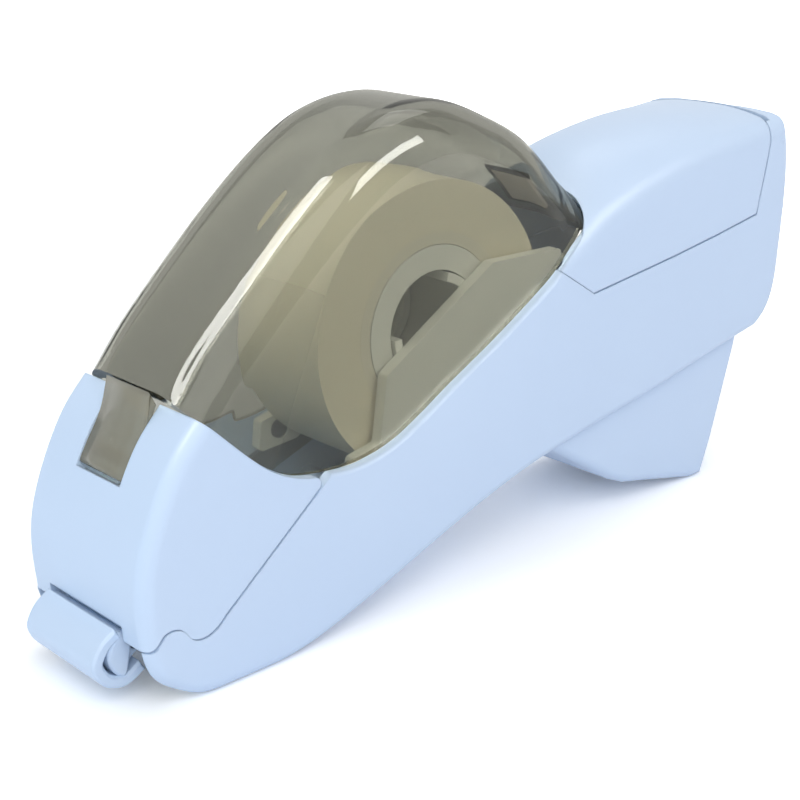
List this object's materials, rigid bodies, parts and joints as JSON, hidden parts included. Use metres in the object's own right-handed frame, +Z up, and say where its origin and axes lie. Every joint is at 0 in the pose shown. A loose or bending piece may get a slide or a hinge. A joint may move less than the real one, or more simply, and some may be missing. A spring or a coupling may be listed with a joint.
{
  "type": "hand-held tape dispenser",
  "caption": "Hand-held packing-film dispenser: smoked dome over the roll, crowned handle, squeeze lever below, curled presser lip at the nose and a blade that drops behind it.",
  "frame": {"origin": "under the middle of the overall length and width, at the level of the sole and the lever's heel, which stand on the table", "axes": "nose and lip toward -X, handle toward +X, left side toward -Y, +Z up"},
  "size_m": [0.1421, 0.031, 0.0749],
  "materials": {
    "shell": "satin light blue moulded plastic",
    "dome": "smoked clear plastic",
    "inner": "pale grey moulded plastic",
    "tape": "clear film, beige in the roll",
    "core": "grey-brown card",
    "steel": "plain steel",
    "roller": "dark rubber"
  },
  "bodies": {
    "case": {"left_shell": "shell", "right_shell": "shell", "rear_cover": "shell", "nose_cover": "shell", "case_screws": "steel", "dome_hinge_pin": "steel", "left_cheek": "inner", "right_cheek": "inner", "cheek_screws": "steel", "tape_tail": "tape", "roller_pin": "steel", "lever_pivot_pin": "steel", "lever_spring": "steel", "foot_pivot_pin": "steel"},
    "dome": {"dome_cover": "dome"},
    "tape": {"tape_hub": "inner", "tape_core": "core", "tape_roll": "tape"},
    "roller": {"guide_roller": "roller"},
    "lever": {"squeeze_lever": "shell", "crank_arm": "steel", "crank_pin": "steel"},
    "link": {"drive_link": "steel"},
    "cutter": {"blade_carrier": "inner", "cam_pin": "steel", "cutting_blade": "steel", "blade_screws": "steel"},
    "foot": {"presser_foot": "shell", "foot_core": "shell"}
  },
  "joints": [
    {"name": "dome_hinge", "type": "hinge", "parent": "case", "child": "dome", "pos_m": [-0.05921, 0, 0.0324], "axis": [0, -1, 0], "range_deg": [0, 70]},
    {"name": "tape_spin", "type": "hinge", "parent": "case", "child": "tape", "pos_m": [-0.00866, 0, 0.04118], "axis": [0, 1, 0], "continuous": true},
    {"name": "roller_spin", "type": "hinge", "parent": "case", "child": "roller", "pos_m": [-0.05325, 0, 0.00818], "axis": [0, 1, 0], "continuous": true},
    {"name": "lever_squeeze", "type": "hinge", "parent": "case", "child": "lever", "pos_m": [0.0088, 0, 0.01968], "axis": [0, -1, 0], "range_deg": [0, 20], "stiffness_Nm_per_rad": 0.3, "springref_deg": -20.05},
    {"name": "link_slide", "type": "slide", "parent": "case", "child": "link", "axis": [-0.9456, 0, -0.3254], "range_m": [0, 0.00336]},
    {"name": "blade_drop", "type": "slide", "parent": "case", "child": "cutter", "axis": [0, 0, -1], "range_m": [0, 0.0055]},
    {"name": "foot_rock", "type": "hinge", "parent": "case", "child": "foot", "pos_m": [-0.06248, 0, 0.01416], "axis": [0, 1, 0], "range_deg": [0, 3], "stiffness_Nm_per_rad": 0.05, "springref_deg": -11.46}
  ],
  "couplings": [
    {"joint": "link_slide", "follows": "lever_squeeze", "m_per_rad": 0.009625},
    {"joint": "blade_drop", "follows": "lever_squeeze", "m_per_rad": 0.015755}
  ]
}
